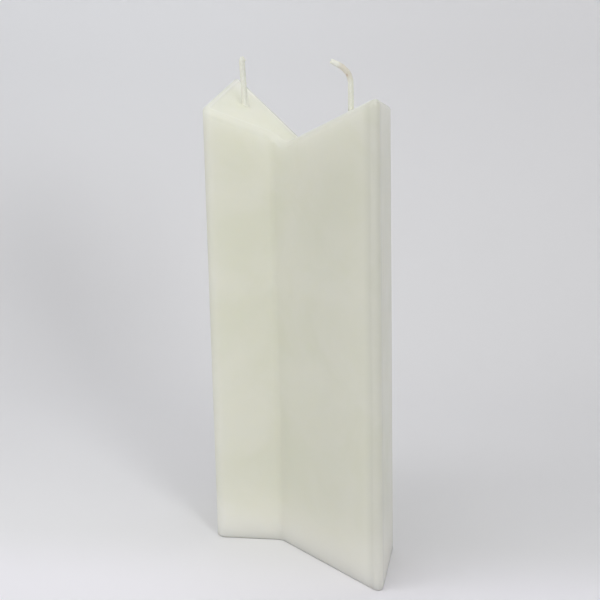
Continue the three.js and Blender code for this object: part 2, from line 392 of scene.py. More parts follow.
@dataclass(frozen=True)
class WaxFinish:
    """Satin ivory wax that lets light a little way in.

    The paler foot is painted light, the darker rim and upright edges are painted shade, and the pale
    lip is a painted highlight. They stand in for light that the real wax passes on or loses at its
    base, its sharp upright edges and its rim.
    """

    clouding: bpy.types.NodeTree

    # Tones of the poured wax, and how its clouding and grain run.
    dense: Colour = (0.750, 0.757, 0.632, 1.0)
    milky: Colour = (0.785, 0.787, 0.682, 1.0)
    drift_scale: float = 28.0
    grain_scale: float = 900.0
    grain_share: float = 0.35
    grain_strength: float = 0.25
    grain_height: float = 0.00004

    # Painted light on the foot, painted highlight on the lip, and painted shade on the rim and upright
    # edges, each edge at its place in the plan.
    foot: Colour = (0.915, 0.905, 0.805, 1.0)
    painted_foot_light_height: float = 0.045
    painted_rim_shade: float = 0.87
    lip: Colour = (0.930, 0.930, 0.865, 1.0)
    painted_lip_highlight_share: float = 0.40
    painted_edge_shade: float = 0.83
    edge_reach: float = 0.0115
    edge_core: float = 0.25
    edges: tuple[Triple, ...] = ((0.04025, -0.050, 0.0), (-0.03372, 0.04957, 0.0))

    # Glow and gloss.
    glow: float = 0.55
    depth: float = 0.020
    depth_by_colour: Triple = (1.0, 0.95, 0.85)
    refraction: float = 1.44
    smoothest: float = 0.31
    roughest: float = 0.42
    patch_scale: float = 60.0
    patch_range: tuple[float, float] = (0.25, 0.75)
    coat: float = 0.3
    coat_roughness: float = 0.14

    # Dark speck in the front face. Each core is the share of a reach within which a mark is full.
    speck: Triple = (0.0092, -0.0192, 0.1605)
    speck_radius: float = 0.00028
    speck_core: float = 0.6
    speck_colour: Colour = (0.16, 0.13, 0.10, 1.0)

    # Scuff on the right end face: its ends, its middle line, its half width and where the face starts.
    scuff_low: float = 0.100
    scuff_high: float = 0.157
    scuff_low_fade: float = 0.006
    scuff_high_fade: float = 0.004
    scuff_place: float = -0.0365
    scuff_width: float = 0.0010
    scuff_core: float = 0.35
    scuff_side: float = 0.0390
    scuff_side_fade: float = 0.0004
    scuff_scale: float = 1500.0
    scuff_stretch: Triple = (1.0, 1.0, 0.12)
    scuff_range: tuple[float, float] = (0.35, 0.65)
    scuff_lightest: float = 0.12
    scuff_heaviest: float = 0.34
    scuff_colour: Colour = (0.62, 0.50, 0.43, 1.0)

    def material(self, name: str) -> bpy.types.Material:
        """Builds the material.

        Args:
            name: Name of the material.

        Returns:
            A wax material that reads Object coordinates, and the marks for the rim's painted shade and
            the lip's painted highlight.
        """
        made, graph, surface = new_material(name)
        place = graph.add("ShaderNodeTexCoord").outputs["Object"]
        cloud = graph.add("ShaderNodeGroup", {"node_tree": self.clouding}, Place=place,
                          Drift_Scale=self.drift_scale, Grain_Scale=self.grain_scale,
                          Grain_Share=self.grain_share, Dense=self.dense, Milky=self.milky)
        axes = graph.add("ShaderNodeSeparateXYZ", Vector=place)
        # Painted light: the wax is paler towards the base, for light bounced up from the floor.
        low = graph.ramp(axes.outputs["Z"], 0.0, self.painted_foot_light_height, 1.0, 0.0)
        poured = graph.mix(graph.math("MULTIPLY", low, low), cloud.outputs["Colour"], self.foot)
        painted_tone = self.paint_light_and_shade(graph, place, poured)
        scuffed = graph.mix(self.scuff_mask(graph, axes, place), painted_tone, self.scuff_colour)
        near = graph.ramp(graph.distance(place, self.speck), self.speck_core * self.speck_radius,
                          self.speck_radius, 1.0, 0.0)
        graph.feed(surface.inputs["Base Color"], graph.mix(near, scuffed, self.speck_colour))
        patch = graph.add("ShaderNodeTexNoise", Vector=place, Scale=self.patch_scale, Detail=3.0)
        graph.feed(surface.inputs["Roughness"],
                   graph.ramp(patch.outputs["Fac"], *self.patch_range, self.smoothest, self.roughest))
        bump = graph.add("ShaderNodeBump", Strength=self.grain_strength, Distance=self.grain_height,
                         Height=cloud.outputs["Height"])
        graph.feed(surface.inputs["Normal"], bump.outputs["Normal"])
        surface.subsurface_method = "RANDOM_WALK"
        surface.inputs["Subsurface Weight"].default_value = self.glow
        surface.inputs["Subsurface Radius"].default_value = self.depth_by_colour
        surface.inputs["Subsurface Scale"].default_value = self.depth
        surface.inputs["IOR"].default_value = self.refraction
        surface.inputs["Coat Weight"].default_value = self.coat
        surface.inputs["Coat Roughness"].default_value = self.coat_roughness
        return made

    def paint_light_and_shade(self, graph: Graph, place: bpy.types.NodeSocket,
                  tone: bpy.types.NodeSocket) -> bpy.types.NodeSocket:
        """Paints shade on the wax at its sharp upright edges and its rim, and a highlight on its lip.

        The painted shade stands in for light that slips out at the edges and the rim. The first mark is
        the share of painted rim shade, less than 0 where painted light makes the wax paler, and the second
        is the share of painted lip highlight.

        Args:
            graph: Graph of the material.
            place: Object coordinates.
            tone: Colour of the wax before the painted light and shade.

        Returns:
            The colour with the painted light and shade worked in.
        """
        plan = graph.multiply(place, (1.0, 1.0, 0.0))
        # Painted shade round each sharp upright edge, darkest near the edge.
        for edge in self.edges:
            shade = graph.ramp(graph.distance(plan, edge), self.edge_core * self.edge_reach,
                               self.edge_reach, self.painted_edge_shade, 1.0)
            tone = graph.mix(1.0, tone, shade, "MULTIPLY")
        # Painted shade on the rim, and painted light on the tops of the walls and on the top, from the
        # first mark.
        mapped = graph.add("ShaderNodeUVMap", {"uv_map": PATTERN_MAP}).outputs["UV"]
        marks = graph.add("ShaderNodeSeparateXYZ", Vector=mapped)
        painted_rim_darkening = graph.math("MULTIPLY", marks.outputs["X"], 1.0 - self.painted_rim_shade)
        shade = graph.math("SUBTRACT", 1.0, painted_rim_darkening)
        tone = graph.mix(1.0, tone, shade, "MULTIPLY")
        # Painted highlight along the lip, from the second mark.
        return graph.mix(graph.math("MULTIPLY", marks.outputs["Y"], self.painted_lip_highlight_share), tone, self.lip)

    def scuff_mask(self, graph: Graph, axes: bpy.types.Node,
                   place: bpy.types.NodeSocket) -> bpy.types.NodeSocket:
        """Mask of the faint upright scuff on the right end face.

        Args:
            graph: Graph of the material.
            axes: Node that splits the place into its three parts.
            place: Object coordinates.

        Returns:
            A value from 0, clean, to a third where the scuff is heaviest.
        """
        drawn = graph.multiply(place, self.scuff_stretch)
        broken = graph.add("ShaderNodeTexNoise", Vector=drawn, Scale=self.scuff_scale, Detail=2.0)
        off = graph.math("ABSOLUTE", graph.math("SUBTRACT", axes.outputs["Y"], self.scuff_place))
        band = graph.ramp(off, self.scuff_core * self.scuff_width, self.scuff_width, 1.0, 0.0)
        above = graph.ramp(axes.outputs["Z"], self.scuff_low - self.scuff_low_fade,
                           self.scuff_low + self.scuff_low_fade)
        below = graph.ramp(axes.outputs["Z"], self.scuff_high - self.scuff_high_fade,
                           self.scuff_high + self.scuff_high_fade, 1.0, 0.0)
        tall = graph.math("MULTIPLY", above, below)
        side = graph.ramp(axes.outputs["X"], self.scuff_side - self.scuff_side_fade, self.scuff_side)
        shape = graph.math("MULTIPLY", graph.math("MULTIPLY", band, tall), side)
        weight = graph.ramp(broken.outputs["Fac"], *self.scuff_range, self.scuff_lightest,
                            self.scuff_heaviest)
        return graph.math("MULTIPLY", shape, weight)


@dataclass(frozen=True)
class CottonFinish:
    """Bleached cotton braid soaked in wax, with fibres that run along each strand.

    Heights on the wick are distances along it from the wax. A wick is clean unless it is given a
    share of stain and a spot's radius.
    """

    # Fibres along each strand.
    fibre: Colour = (0.97, 0.975, 0.86, 1.0)
    groove: Colour = (0.90, 0.90, 0.76, 1.0)
    fibre_stretch: Triple = (9.0, 500.0, 1.0)
    fibre_range: tuple[float, float] = (0.32, 0.6)
    fibre_strength: float = 0.5
    fibre_height: float = 0.00003

    # Wax on the foot, up to a height, and on the tip, from a height.
    waxed: Colour = (0.98, 0.98, 0.85, 1.0)
    waxed_height: float = 0.0040
    waxed_core: float = 0.4
    sealed_from: float = 0.1
    sealed_fade: tuple[float, float] = (-0.0012, 0.0004)

    # Brown stain between two heights, and a dark spot at a place.
    stain: Colour = (0.66, 0.53, 0.38, 1.0)
    stain_share: float = 0.0
    stain_from: float = 0.0155
    stain_to: float = 0.0228
    stain_from_fade: tuple[float, float] = (-0.002, 0.002)
    stain_to_fade: tuple[float, float] = (-0.002, 0.001)
    spot: Triple = (0.0, 0.0, 0.0)
    spot_radius: float = 0.0
    spot_core: float = 0.1
    spot_colour: Colour = (0.68, 0.54, 0.40, 1.0)
    spot_share: float = 0.9

    # Glow and gloss.
    smoothest: float = 0.40
    roughest: float = 0.62
    gloss_range: tuple[float, float] = (0.3, 0.7)
    glow: float = 0.3
    depth: float = 0.0003
    depth_by_colour: Triple = (1.0, 0.95, 0.85)
    sheen: float = 0.15

    def material(self, name: str) -> bpy.types.Material:
        """Builds the material.

        Args:
            name: Name of the material.

        Returns:
            A cotton material that reads the strands' own pattern coordinates: once round a strand
            in the first, and the distance from the wax in the second.
        """
        made, graph, surface = new_material(name)
        place = graph.add("ShaderNodeUVMap", {"uv_map": PATTERN_MAP}).outputs["UV"]
        height = graph.add("ShaderNodeSeparateXYZ", Vector=place).outputs["Y"]
        drawn = graph.multiply(place, self.fibre_stretch)
        fibres = graph.add("ShaderNodeTexNoise", Vector=drawn, Scale=1.0, Detail=4.0, Roughness=0.7)
        tone = graph.mix(graph.ramp(fibres.outputs["Fac"], *self.fibre_range), self.groove, self.fibre)
        tone = graph.mix(self.stain_mask(graph, height), tone, self.stain)
        tone = graph.mix(self.wax_mask(graph, height), tone, self.waxed)
        if self.spot_radius:
            away = graph.distance(graph.add("ShaderNodeTexCoord").outputs["Object"], self.spot)
            near = graph.ramp(away, self.spot_core * self.spot_radius, self.spot_radius,
                              self.spot_share, 0.0)
            tone = graph.mix(near, tone, self.spot_colour)
        graph.feed(surface.inputs["Base Color"], tone)
        graph.feed(surface.inputs["Roughness"],
                   graph.ramp(fibres.outputs["Fac"], *self.gloss_range, self.smoothest, self.roughest))
        bump = graph.add("ShaderNodeBump", Strength=self.fibre_strength, Distance=self.fibre_height,
                         Height=fibres.outputs["Fac"])
        graph.feed(surface.inputs["Normal"], bump.outputs["Normal"])
        surface.inputs["Subsurface Weight"].default_value = self.glow
        surface.inputs["Subsurface Radius"].default_value = self.depth_by_colour
        surface.inputs["Subsurface Scale"].default_value = self.depth
        surface.inputs["Sheen Weight"].default_value = self.sheen
        return made

    def stain_mask(self, graph: Graph, height: bpy.types.NodeSocket) -> bpy.types.NodeSocket:
        """Mask of the brown stain.

        Args:
            graph: Graph of the material.
            height: Distance along the wick from the wax.

        Returns:
            The stain's share between its two heights, and 0 outside them.
        """
        above = graph.ramp(height, *(self.stain_from + fade for fade in self.stain_from_fade))
        below = graph.ramp(height, *(self.stain_to + fade for fade in self.stain_to_fade), 1.0, 0.0)
        return graph.math("MULTIPLY", graph.math("MULTIPLY", above, below), self.stain_share)

    def wax_mask(self, graph: Graph, height: bpy.types.NodeSocket) -> bpy.types.NodeSocket:
        """Mask of the thick wax on the foot and on a sealed tip.

        Args:
            graph: Graph of the material.
            height: Distance along the wick from the wax.

        Returns:
            A value from 0, thinly waxed, to 1, covered.
        """
        foot = graph.ramp(height, self.waxed_core * self.waxed_height, self.waxed_height, 1.0, 0.0)
        tip = graph.ramp(height, *(self.sealed_from + fade for fade in self.sealed_fade))
        return graph.math("MAXIMUM", foot, tip)


@dataclass(frozen=True)
class PaperFinish:
    """Matt studio paper, seen from its front only, with painted light that makes it paler in front and
    at its upper back left.
    """

    colour: Colour = (0.80, 0.80, 0.815, 1.0)
    tooth_shade: Colour = (0.788, 0.788, 0.802775, 1.0)
    tooth_scale: float = 700.0
    near: Colour = (0.870, 0.860, 0.905, 1.0)
    painted_front_light_fade: tuple[float, float] = (-0.06, 0.01)
    far: Colour = (0.840, 0.848, 0.868, 1.0)
    painted_back_light_rise: tuple[float, float] = (0.03, 0.20)
    painted_back_light_fade: tuple[float, float] = (-0.18, 0.12)
    roughness: float = 0.9
    specular: float = 0.2

    def material(self, name: str) -> bpy.types.Material:
        """Builds the material.

        Args:
            name: Name of the material.

        Returns:
            A paper material whose back lets everything through.
        """
        made, graph, surface = new_material(name)
        place = graph.add("ShaderNodeTexCoord").outputs["Object"]
        tooth = graph.add("ShaderNodeTexNoise", Vector=place, Scale=self.tooth_scale, Detail=3.0)
        axes = graph.add("ShaderNodeSeparateXYZ", Vector=place)
        tone = graph.mix(tooth.outputs["Fac"], self.tooth_shade, self.colour)
        # Painted light on the floor in front of the candle.
        tone = graph.mix(graph.ramp(axes.outputs["Y"], *self.painted_front_light_fade, 1.0, 0.0), tone, self.near)
        # Painted light on the paper at its upper back left.
        high = graph.ramp(axes.outputs["Z"], *self.painted_back_light_rise)
        left = graph.ramp(axes.outputs["X"], *self.painted_back_light_fade, 1.0, 0.0)
        tone = graph.mix(graph.math("MULTIPLY", high, left), tone, self.far)
        graph.feed(surface.inputs["Base Color"], tone)
        surface.inputs["Roughness"].default_value = self.roughness
        surface.inputs["Specular IOR Level"].default_value = self.specular
        clear = graph.add("ShaderNodeBsdfTransparent")
        behind = graph.add("ShaderNodeNewGeometry").outputs["Backfacing"]
        both = graph.add("ShaderNodeMixShader", Fac=behind)
        graph.feed(both.inputs[1], surface.outputs["BSDF"])
        graph.feed(both.inputs[2], clear.outputs["BSDF"])
        graph.feed(made.node_tree.nodes["Material Output"].inputs["Surface"], both.outputs["Shader"])
        return made


# ------------------------------------------------------------------------------------------- wax


@dataclass
class WaxBody:
    """Cast wax body: two right-angled triangular lobes back to back under a V-shaped top."""

    # Plan: each lobe's two equal legs, how far the lobes overlap along X, and the corners.
    lobe_leg: float = 0.050
    lobe_overlap: float = 0.0195
    left_end_lean: float = math.radians(7.5)
    end_corner_radius: float = 0.0045
    peak_corner_radius: float = 0.0024
    notch_radius: float = 0.005
    mitre_radius: float = 0.0004

    # Top: two planes that fall to a rounded valley, and the rounds at the top and the base.
    peak_height: float = 0.205
    left_peak_drop: float = 0.004
    top_slope: float = math.radians(23.25)
    fall_heading: float = math.radians(-29.0)
    valley_radius: float = 0.008
    top_rim: float = 0.003
    base_rim: float = 0.001

    # Surface: each wave has turns round the walls, or rates along X and Y, a rate up, and a start.
    skin: float = 0.00002
    wall_wander: float = 0.00007
    wall_waves: tuple[Triple, ...] = ((3, 31.0, 0.0), (5, -47.0, 1.3), (9, 18.0, 2.1))
    wall_fade: float = 0.008
    top_wander: float = 0.00006
    top_waves: tuple[Triple, ...] = ((410.0, 0.0, 0.7), (0.0, 530.0, 2.9), (290.0, 290.0, 0.0))
    top_fade: float = 0.004
    top_dish: float = 0.00025
    dish_reach: float = 0.0012
    lip_height: float = 0.00014
    lip_width: float = 0.00030

    # Marks for the finish: painted light on the tops of the walls and on the top, and how far down it
    # goes.
    painted_wall_top_light: float = 0.42
    painted_top_light: float = 0.3
    painted_wall_top_light_reach: float = 0.010

    # Wicks, left and right: where they stand, and the wax round them.
    wick_places: tuple[tuple[float, float], ...] = ((-0.02445, 0.0195), (0.02590, -0.0195))
    wick_radius: float = 0.00120
    skirt_height: float = 0.0009
    skirt_reach: float = 0.00050
    foot_dimple: float = 0.0009
    foot_dimple_reach: float = 0.0016

    # Grid: steps round each corner and along each side, rows up the walls and over the rims.
    arc_steps: int = 14
    edge_steps: tuple[int, ...] = (44, 110, 80, 44, 110, 80)
    wall_rows: int = 58
    top_rim_rows: int = 14
    lip_rows: tuple[float, ...] = (1.6, 1.1, 0.7, 0.35, 0.0)
    shelf_rows: int = 10
    base_rim_rows: int = 5
    side_reach: float = 0.12
    draw_in_reach: float = 0.006
    draw_in: float = 0.4

    def corners(self) -> np.ndarray:
        """Sharp corners of the plan.

        Returns:
            The left lobe's square corner, the front notch, the right lobe's peak and square corner, the
            back notch, and the left lobe's peak.
        """
        leg = self.lobe_leg
        end = leg - self.lobe_overlap / 2
        left_peak = (-end + leg * math.sin(self.left_end_lean), leg * math.cos(self.left_end_lean))
        return np.array([(-end, 0.0), (end - leg, 0.0), (end, -leg),
                         (end, 0.0), (-end + leg, 0.0), left_peak])

    def outline(self, inset: float) -> tuple[np.ndarray, np.ndarray]:
        """Rounded outline of the plan, drawn in by an inset, and the inward normal at each point.

        Each corner becomes an arc: its centre, plus or minus its radius times the first side's normal
        turned by a growing part of the corner's angle. The radius of an outer corner shrinks by the
        inset, down to that of a mitre, and the radius of an inner corner grows by it. Straight sides
        join the arcs.

        Args:
            inset: Distance inwards from the sides.

        Returns:
            Points and normals, from the middle of the first corner's arc and anticlockwise.
        """
        corner = self.corners()
        arriving = quarter_turn(unit(corner - np.roll(corner, 1, axis=0)))
        leaving = quarter_turn(unit(np.roll(corner, -1, axis=0) - corner))
        facing = np.sum(arriving * leaving, axis=-1)
        turn = np.arctan2(cross_plan(arriving, leaving), facing)
        own = np.array([self.end_corner_radius, self.notch_radius, self.peak_corner_radius] * 2)
        radius = np.where(turn > 0, -np.maximum(own - inset, self.mitre_radius), own + inset)
        centre = corner + ((inset - radius) / (1 + facing))[:, None] * (arriving + leaving)
        angle = turn[:, None] * np.linspace(0.0, 1.0, self.arc_steps + 1)
        normal = (np.cos(angle)[..., None] * arriving[:, None]
                  + np.sin(angle)[..., None] * quarter_turn(arriving)[:, None])
        arc = centre[:, None] + radius[:, None, None] * normal
        points, normals = [], []
        for index, steps in enumerate(self.edge_steps):
            share = np.linspace(0.0, 1.0, steps + 1)[1:-1, None]
            following = arc[(index + 1) % len(arc), 0]
            points += [arc[index], arc[index, -1] + share * (following - arc[index, -1])]
            normals += [normal[index], np.repeat(leaving[index][None], steps - 1, axis=0)]
        half = self.arc_steps // 2
        return tuple(np.roll(np.concatenate(parts), -half, axis=0) for parts in (points, normals))

    def top_height(self, plan: np.ndarray) -> np.ndarray:
        """Height of the top over points of the plan.

        Two planes climb at the same slope from a valley across the direction of fall, and a round of
        the valley's radius, level at its lowest point, joins them.

        Args:
            plan: Points of the plan on the last axis.

        Returns:
            One height for each point.
        """
        grade = math.tan(self.top_slope)
        fall = np.array([math.cos(self.fall_heading), math.sin(self.fall_heading)])
        corner = self.corners()
        right_level = self.peak_height - grade * fall @ corner[2]
        left_level = self.peak_height - self.left_peak_drop + grade * fall @ corner[5]
        floor = (left_level + right_level) / 2
        offset = np.abs(plan @ fall - (left_level - right_level) / (2 * grade))
        half = self.valley_radius * math.sin(self.top_slope)
        inside = np.sqrt(self.valley_radius ** 2 - np.minimum(offset, half) ** 2)
        rounded = floor + self.valley_radius / math.cos(self.top_slope) - inside
        return np.where(offset < half, rounded, floor + grade * offset)

    def wander(self, along: np.ndarray, height: np.ndarray) -> np.ndarray:
        """Slight unevenness of the cast walls, always inwards.

        Slow waves along the outline and up the wall are added up, and the sum is scaled to run from 0
        to the wander.

        Args:
            along: Share of the way round the outline.
            height: Height above the base.

        Returns:
            Distance inwards at each point.
        """
        waves = sum(np.sin(turns * FULL_TURN * along + rate * height + start)
                    for turns, rate, start in self.wall_waves)
        count = len(self.wall_waves)
        return self.wall_wander * (waves + count) / (2 * count)

    def drawn_towards_wicks(self, grid: np.ndarray) -> np.ndarray:
        """Draws a grid's points in towards each wick, so that its cells are finest there.

        A point at distance r inside the reach R moves to r (a + (1 - a) (r / R)^2), where a is the
        draw-in at the wick itself.

        Args:
            grid: Points of the plan.

        Returns:
            The moved points.
        """
        for place in np.array(self.wick_places):
            away = grid - place
            share = np.linalg.norm(away, axis=-1, keepdims=True) / self.draw_in_reach
            scale = self.draw_in + (1 - self.draw_in) * share ** 2
            grid = np.where(share < 1, place + away * scale, grid)
        return grid

    def near_wicks(self, plan: np.ndarray, reach: float) -> np.ndarray:
        """Fall-off from 1 at each wick's side to 0 away from it, as exp(-distance / reach).

        Args:
            plan: Points of the plan.
            reach: Distance over which it falls to about a third.

        Returns:
            One share for each point.
        """
        fall_off = np.zeros(plan.shape[:-1])
        for place in np.array(self.wick_places):
            away = np.maximum(np.linalg.norm(plan - place, axis=-1) - self.wick_radius, 0.0)
            fall_off += np.exp(-away / reach)
        return fall_off

    def cap(self, ring: np.ndarray) -> np.ndarray:
        """Plan grid inside a closed ring, which is split into four curves at the outer corners.

        Args:
            ring: Points of the ring, from the middle of the first corner's arc and anticlockwise.

        Returns:
            Grid of points with the ring as its border.
        """
        half = self.arc_steps // 2
        u_steps = self.edge_steps[0] + self.edge_steps[1] + 2 * self.arc_steps
        v_steps = self.edge_steps[2] + 2 * half
        closed = np.concatenate([ring, ring[:1]])
        bottom = closed[:u_steps + 1]
        right = closed[u_steps:u_steps + v_steps + 1]
        top = closed[u_steps + v_steps:2 * u_steps + v_steps + 1][::-1]
        left = closed[2 * u_steps + v_steps:][::-1]
        grid = four_sided_patch(bottom, top, left, right, self.side_reach)
        grid[1:-1, 1:-1] = self.drawn_towards_wicks(grid[1:-1, 1:-1])
        return grid

    def cap_numbers(self, first_of_ring: int, first_inside: int, shape: tuple[int, int]) -> np.ndarray:
        """Vertex numbers of a cap's grid, which shares its border with a ring of the walls.

        Args:
            first_of_ring: Number of the ring's first vertex.
            first_inside: Number of the first vertex inside the border.
            shape: Numbers of points along the grid's two sides.

        Returns:
            One number for each point of the grid.
        """
        u_steps, v_steps = shape[0] - 1, shape[1] - 1
        count = 2 * (u_steps + v_steps)
        number = np.empty(shape, dtype=int)
        number[:, 0] = first_of_ring + np.arange(u_steps + 1)
        number[-1, :] = first_of_ring + u_steps + np.arange(v_steps + 1)
        number[::-1, -1] = first_of_ring + u_steps + v_steps + np.arange(u_steps + 1)
        number[0, ::-1] = first_of_ring + (2 * u_steps + v_steps + np.arange(v_steps + 1)) % count
        inside = first_inside + np.arange((u_steps - 1) * (v_steps - 1))
        number[1:-1, 1:-1] = inside.reshape(u_steps - 1, v_steps - 1)
        return number

    def rings(self) -> tuple[np.ndarray, np.ndarray, np.ndarray]:
        """Closed rings from the base to the shelf on the top.

        A profile is carried round the outline: the point at ring j and place i is point i of the
        outline drawn in by the profile's inset, at the profile's height. The profile runs round the
        base's edge, up the wall, and over the top rim and its lip to the shelf.

        Returns:
            Plan, height and marks for the finish's painted light and shade of each point, by ring and
            place.
        """
        outline, normal = self.outline(self.skin)
        along = np.linspace(0.0, 1.0, len(outline), endpoint=False)
        level = self.top_height(outline)
        base_angle = np.linspace(0.0, math.pi / 2, self.base_rim_rows + 1)[:, None]
        wall_share = np.linspace(0.0, 1.0, self.wall_rows + 2)[1:-1, None]
        wall_top = level - self.top_rim
        wall_height = self.base_rim + wall_share * (wall_top - self.base_rim)
        eased = (smooth_step(0.0, self.wall_fade, wall_height)
                 * smooth_step(0.0, self.wall_fade, wall_top - wall_height))
        all_round = np.zeros_like(level)
        base_inset = self.base_rim * (1 - np.sin(base_angle)) + all_round
        inset = np.concatenate([base_inset, self.wander(along, wall_height) * eased])
        top_inset, below = self.top_profile()
        top_plan = np.stack([self.outline(self.skin + drawn_in)[0] for drawn_in in top_inset])
        height = np.concatenate([
            self.base_rim * (1 - np.cos(base_angle)) + all_round,
            wall_height,
            self.top_height(top_plan) - below[:, None],
        ])
        plan = np.concatenate([outline + inset[..., None] * normal, top_plan])
        marks = np.zeros((*height.shape, 2))
        upper = marks[len(base_inset):-len(top_inset)]
        # Painted light on the tops of the walls, fading downwards.
        upper[..., 0] = -self.painted_wall_top_light * np.exp((wall_height - wall_top) / self.painted_wall_top_light_reach)
        marks[-len(top_inset):] = self.top_marks(top_inset)[:, None]
        return plan, height, marks

    def build(self) -> bpy.types.Object:
        """Builds the casting as one closed surface.

        The rings make the walls, the base's edge and the top rim. The base and the top are grids
        inside the lowest and the highest ring.

        Returns:
            The wax body.
        """
        plan, height, marks = self.rings()
        rows, count = height.shape
        walls = np.concatenate([plan, height[..., None]], axis=-1)
        points, patterns = [walls.reshape(-1, 3)], [marks.reshape(-1, 2)]
        faces = [wrapped_quads(rows, count)]
        used = rows * count
        for ring, first, is_top in ((plan[0], 0, False), (plan[-1], (rows - 1) * count, True)):
            grid = self.cap(ring)
            inner = grid[1:-1, 1:-1]
            inside = inner.shape[0] * inner.shape[1]
            surface = self.top_surface(inner, ring) if is_top else self.base_surface(inner)
            points.append(np.concatenate([inner, surface[..., None]], axis=-1).reshape(-1, 3))
            # Painted light on the top, none on the base.
            patterns.append(np.tile((-self.painted_top_light if is_top else 0.0, 0.0), (inside, 1)))
            number = self.cap_numbers(first, used, grid.shape[:2])
            corners = [number[:-1, :-1], number[1:, :-1], number[1:, 1:], number[:-1, 1:]]
            quads = np.stack(corners, axis=-1).reshape(-1, 4)
            faces.append(quads if is_top else quads[:, ::-1])
            used += inside
        return make_piece("cast_wax_body", np.concatenate(points), faces, np.concatenate(patterns))

    def top_marks(self, inset: np.ndarray) -> np.ndarray:
        """Shares of painted rim shade and of painted lip highlight along the top's profile, for the
        finish.

        The share of rim shade is the sine of twice the angle round the quarter round, so it is 1 half way,
        less the painted light on the wall's top, which fades out over the rim, and on the top, which grows
        with the dish. The share of lip highlight is the lip's own bell curve.

        Args:
            inset: Insets of the profile's points from the outline.

        Returns:
            One row of two shares for each point.
        """
        level = 1 - np.clip(inset / self.top_rim, 0.0, 1.0)
        rim = (2 * level * np.sqrt(1 - level ** 2) - self.painted_wall_top_light * level
               - self.painted_top_light * smooth_step(0.0, self.dish_reach, inset - self.top_rim))
        return np.stack([rim, np.exp(-(((inset - self.top_rim) / self.lip_width) ** 2))], axis=-1)

    def top_profile(self) -> tuple[np.ndarray, np.ndarray]:
        """Profile across the top rim and the shelf inside it.

        The rim is a quarter round. Inside it the wax sinks by the dish along a smooth step, and a lip
        in the form of a bell curve stands where the two meet.

        Returns:
            Insets from the outline, and how far each point lies below the top's two planes.
        """
        angle = np.linspace(0.0, math.pi / 2, self.top_rim_rows + 1)
        finer = self.top_rim - self.lip_width * np.array(self.lip_rows)
        rim = self.top_rim * (1 - np.cos(angle))
        rim = np.concatenate([rim[rim < finer[0] - 0.5 * self.lip_width], finer])
        shelf = self.top_rim + self.dish_reach * np.linspace(0.0, 1.0, self.shelf_rows + 1)[1:]
        inset = np.concatenate([rim, shelf])
        share = np.minimum(1 - inset / self.top_rim, 1.0)
        rounded = self.top_rim * (1 - np.sqrt(1 - np.maximum(share, 0.0) ** 2))
        dish = self.top_dish * smooth_step(0.0, self.dish_reach, inset - self.top_rim)
        lip = self.lip_height * np.exp(-(((inset - self.top_rim) / self.lip_width) ** 2))
        return inset, rounded + dish - lip

    def top_surface(self, plan: np.ndarray, ring: np.ndarray) -> np.ndarray:
        """Heights of the top inside its shelf: the two planes, less the dish, plus the wicks' skirts.

        Slow waves across the plan make it slightly uneven, and they fade out towards the shelf.

        Args:
            plan: Points of the plan.
            ring: Points of the shelf's inner edge.

        Returns:
            One height for each point.
        """
        flat = plan.reshape(-1, 2).astype(np.float32)
        apart = flat[:, None] - ring[None].astype(np.float32)
        nearest = np.sqrt(np.min(np.sum(apart * apart, axis=-1), axis=1)).reshape(plan.shape[:-1])
        waves = sum(np.sin(along_x * plan[..., 0] + along_y * plan[..., 1] + start)
                    for along_x, along_y, start in self.top_waves)
        uneven = self.top_wander * waves * smooth_step(0.0, self.top_fade, nearest) / len(self.top_waves)
        skirt = self.skirt_height * self.near_wicks(plan, self.skirt_reach)
        return self.top_height(plan) - self.top_dish + uneven + skirt

    def base_surface(self, plan: np.ndarray) -> np.ndarray:
        """Heights of the base: level, with a shallow dimple where each wick ends."""
        return self.foot_dimple * self.near_wicks(plan, self.foot_dimple_reach)

    def dress(self, piece: bpy.types.Object, finish: WaxFinish) -> None:
        """Gives the casting its wax and its place in the frame.

        Args:
            piece: The casting.
            finish: Finish of its wax.
        """
        piece.data.materials.append(finish.material("ivory_wax"))
        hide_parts("wax_body")
        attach(piece, BODY)


# ------------------------------------------------------------------------------------------ wicks


class Tip(Enum):
    """How a wick's free end looks."""

    FRAYED = "frayed"
    SEALED = "sealed"


@dataclass(frozen=True)
class Bend:
    """Bend of a wick: it turns through an angle at a radius, then runs on straight."""

    radius: float
    turn: float
    run: float


